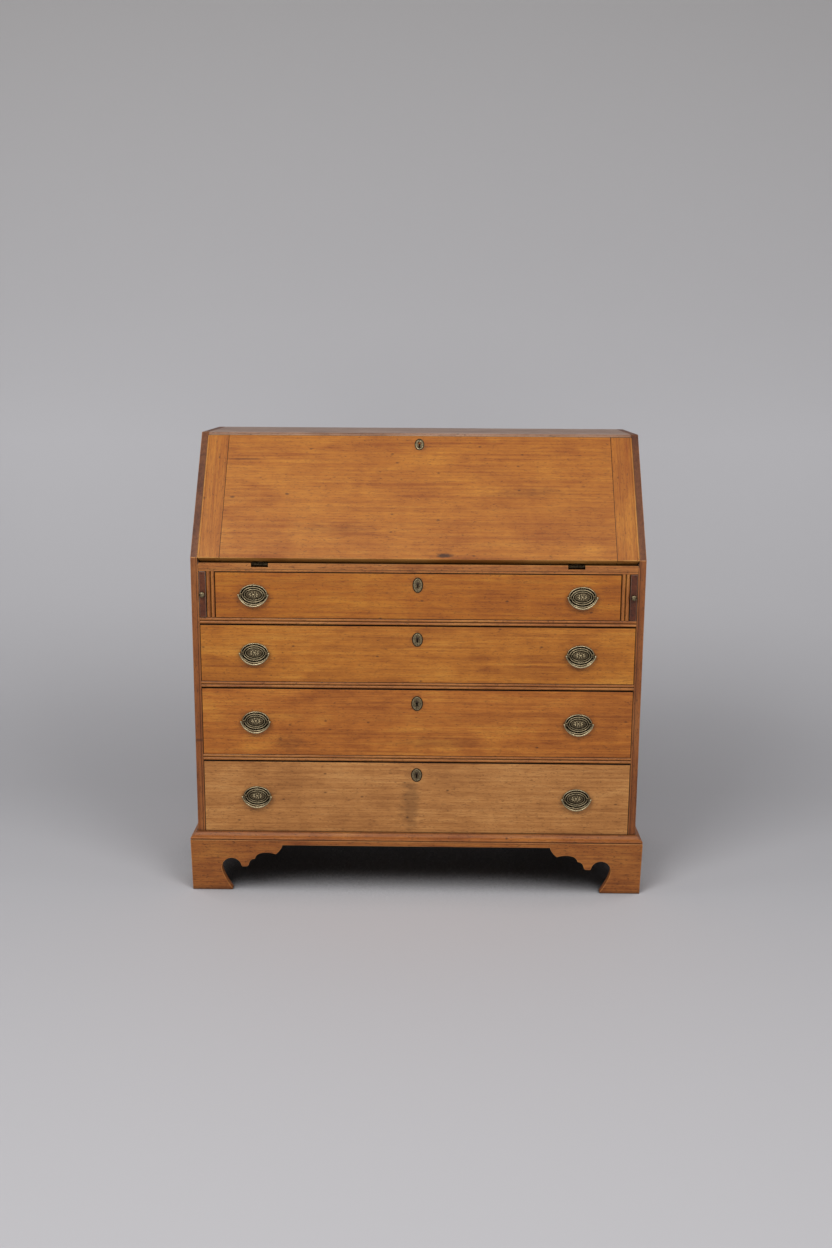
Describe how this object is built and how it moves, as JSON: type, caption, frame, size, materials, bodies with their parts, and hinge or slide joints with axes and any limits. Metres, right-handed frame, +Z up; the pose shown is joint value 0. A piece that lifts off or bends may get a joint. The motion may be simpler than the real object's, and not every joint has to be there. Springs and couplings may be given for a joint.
{
  "type": "secretary desk",
  "caption": "Slant-front wooden secretary desk with a hinged fall, pull-out lopers, full-width drawers on oval brass pulls, a fitted interior and scrolled bracket feet.",
  "frame": {"origin": "on the floor under the middle of the outline", "axes": "+Z up, -Y out of the front where the drawers open, +X to the right as seen from the front"},
  "size_m": [1.031, 0.4454, 1.032],
  "materials": {
    "golden_fruitwood": "aged waxed satin, golden brown with darker mottling",
    "carcase_fruitwood": "aged waxed satin, reddish brown",
    "red_mahogany": "dark red waxed satin",
    "pine": "unfinished, darkened with age",
    "oak_lining": "unfinished, dry",
    "gallery_fruitwood": "waxed satin",
    "aged_brass": "aged, dark in the recesses and rubbed bright on the high parts",
    "iron_pin": "dull"
  },
  "bodies": {
    "root": {"left_side": "carcase_fruitwood", "right_side": "carcase_fruitwood", "top_board": "carcase_fruitwood", "bottom_board": "pine", "back_boards": "pine", "desk_bed": "carcase_fruitwood", "top_rail": "carcase_fruitwood", "drawer_rails": "carcase_fruitwood", "drawer_runners": "pine", "dust_boards": "pine", "partitions": "carcase_fruitwood", "base_moulding": "carcase_fruitwood", "front_plinth": "carcase_fruitwood", "side_plinths": "carcase_fruitwood", "rear_brackets": "pine", "foot_blocks": "pine", "bed_hinge_leaves": "aged_brass", "hinge_pins": "iron_pin", "gallery_case": "gallery_fruitwood"},
    "fall": {"fall_panel": "golden_fruitwood", "fall_left_cleat": "golden_fruitwood", "fall_right_cleat": "golden_fruitwood", "fall_lock": "aged_brass", "fall_hinge_leaves": "aged_brass"},
    "fall_bolt": {"fall_lock_bolt": "aged_brass"},
    "left_loper": {"left_loper": "red_mahogany", "left_loper_knob": "aged_brass"},
    "right_loper": {"right_loper": "red_mahogany", "right_loper_knob": "aged_brass"},
    "drawer_1": {"drawer_1_front": "golden_fruitwood", "drawer_1_box": "oak_lining", "drawer_1_lock": "aged_brass", "drawer_1_plates": "aged_brass"},
    "drawer_1_bolt": {"drawer_1_lock_bolt": "aged_brass"},
    "drawer_1_left_bail": {"drawer_1_left_bail": "aged_brass"},
    "drawer_1_right_bail": {"drawer_1_right_bail": "aged_brass"},
    "drawer_2": {"drawer_2_front": "golden_fruitwood", "drawer_2_box": "oak_lining", "drawer_2_lock": "aged_brass", "drawer_2_plates": "aged_brass"},
    "drawer_2_bolt": {"drawer_2_lock_bolt": "aged_brass"},
    "drawer_2_left_bail": {"drawer_2_left_bail": "aged_brass"},
    "drawer_2_right_bail": {"drawer_2_right_bail": "aged_brass"},
    "drawer_3": {"drawer_3_front": "golden_fruitwood", "drawer_3_box": "oak_lining", "drawer_3_lock": "aged_brass", "drawer_3_plates": "aged_brass"},
    "drawer_3_bolt": {"drawer_3_lock_bolt": "aged_brass"},
    "drawer_3_left_bail": {"drawer_3_left_bail": "aged_brass"},
    "drawer_3_right_bail": {"drawer_3_right_bail": "aged_brass"},
    "drawer_4": {"drawer_4_front": "golden_fruitwood", "drawer_4_box": "oak_lining", "drawer_4_lock": "aged_brass", "drawer_4_plates": "aged_brass"},
    "drawer_4_bolt": {"drawer_4_lock_bolt": "aged_brass"},
    "drawer_4_left_bail": {"drawer_4_left_bail": "aged_brass"},
    "drawer_4_right_bail": {"drawer_4_right_bail": "aged_brass"},
    "gallery_drawer_1": {"gallery_drawer_1": "gallery_fruitwood"},
    "gallery_drawer_2": {"gallery_drawer_2": "gallery_fruitwood"},
    "gallery_drawer_3": {"gallery_drawer_3": "gallery_fruitwood"}
  },
  "joints": [
    {"name": "fall_hinge", "type": "hinge", "parent": "root", "child": "fall", "pos_m": [0, -0.20028, 0.753], "axis": [1, 0, 0], "range_deg": [0, 125.7]},
    {"name": "fall_bolt_slide", "type": "slide", "parent": "fall", "child": "fall_bolt", "axis": [0, 0.5836, 0.8121], "range_m": [0, 0.01]},
    {"name": "left_loper_slide", "type": "slide", "parent": "root", "child": "left_loper", "axis": [0, -1, 0], "range_m": [0, 0.26]},
    {"name": "right_loper_slide", "type": "slide", "parent": "root", "child": "right_loper", "axis": [0, -1, 0], "range_m": [0, 0.26]},
    {"name": "drawer_1_slide", "type": "slide", "parent": "root", "child": "drawer_1", "axis": [0, -1, 0], "range_m": [0, 0.34]},
    {"name": "drawer_1_bolt_slide", "type": "slide", "parent": "drawer_1", "child": "drawer_1_bolt", "axis": [0, 0, 1], "range_m": [0, 0.008]},
    {"name": "drawer_1_left_bail_hinge", "type": "hinge", "parent": "drawer_1", "child": "drawer_1_left_bail", "pos_m": [-0.3625, -0.21425, 0.68675], "axis": [-1, 0, 0], "range_deg": [0, 160]},
    {"name": "drawer_1_right_bail_hinge", "type": "hinge", "parent": "drawer_1", "child": "drawer_1_right_bail", "pos_m": [0.3625, -0.21425, 0.68675], "axis": [-1, 0, 0], "range_deg": [0, 160]},
    {"name": "drawer_2_slide", "type": "slide", "parent": "root", "child": "drawer_2", "axis": [0, -1, 0], "range_m": [0, 0.34]},
    {"name": "drawer_2_bolt_slide", "type": "slide", "parent": "drawer_2", "child": "drawer_2_bolt", "axis": [0, 0, 1], "range_m": [0, 0.008]},
    {"name": "drawer_2_left_bail_hinge", "type": "hinge", "parent": "drawer_2", "child": "drawer_2_left_bail", "pos_m": [-0.3625, -0.21425, 0.555], "axis": [-1, 0, 0], "range_deg": [0, 160]},
    {"name": "drawer_2_right_bail_hinge", "type": "hinge", "parent": "drawer_2", "child": "drawer_2_right_bail", "pos_m": [0.3625, -0.21425, 0.555], "axis": [-1, 0, 0], "range_deg": [0, 160]},
    {"name": "drawer_3_slide", "type": "slide", "parent": "root", "child": "drawer_3", "axis": [0, -1, 0], "range_m": [0, 0.34]},
    {"name": "drawer_3_bolt_slide", "type": "slide", "parent": "drawer_3", "child": "drawer_3_bolt", "axis": [0, 0, 1], "range_m": [0, 0.008]},
    {"name": "drawer_3_left_bail_hinge", "type": "hinge", "parent": "drawer_3", "child": "drawer_3_left_bail", "pos_m": [-0.3625, -0.21425, 0.3975], "axis": [-1, 0, 0], "range_deg": [0, 160]},
    {"name": "drawer_3_right_bail_hinge", "type": "hinge", "parent": "drawer_3", "child": "drawer_3_right_bail", "pos_m": [0.3625, -0.21425, 0.3975], "axis": [-1, 0, 0], "range_deg": [0, 160]},
    {"name": "drawer_4_slide", "type": "slide", "parent": "root", "child": "drawer_4", "axis": [0, -1, 0], "range_m": [0, 0.34]},
    {"name": "drawer_4_bolt_slide", "type": "slide", "parent": "drawer_4", "child": "drawer_4_bolt", "axis": [0, 0, 1], "range_m": [0, 0.008]},
    {"name": "drawer_4_left_bail_hinge", "type": "hinge", "parent": "drawer_4", "child": "drawer_4_left_bail", "pos_m": [-0.3625, -0.21425, 0.221], "axis": [-1, 0, 0], "range_deg": [0, 160]},
    {"name": "drawer_4_right_bail_hinge", "type": "hinge", "parent": "drawer_4", "child": "drawer_4_right_bail", "pos_m": [0.3625, -0.21425, 0.221], "axis": [-1, 0, 0], "range_deg": [0, 160]},
    {"name": "gallery_drawer_1_slide", "type": "slide", "parent": "root", "child": "gallery_drawer_1", "axis": [0, -1, 0], "range_m": [0, 0.14]},
    {"name": "gallery_drawer_2_slide", "type": "slide", "parent": "root", "child": "gallery_drawer_2", "axis": [0, -1, 0], "range_m": [0, 0.14]},
    {"name": "gallery_drawer_3_slide", "type": "slide", "parent": "root", "child": "gallery_drawer_3", "axis": [0, -1, 0], "range_m": [0, 0.14]}
  ]
}
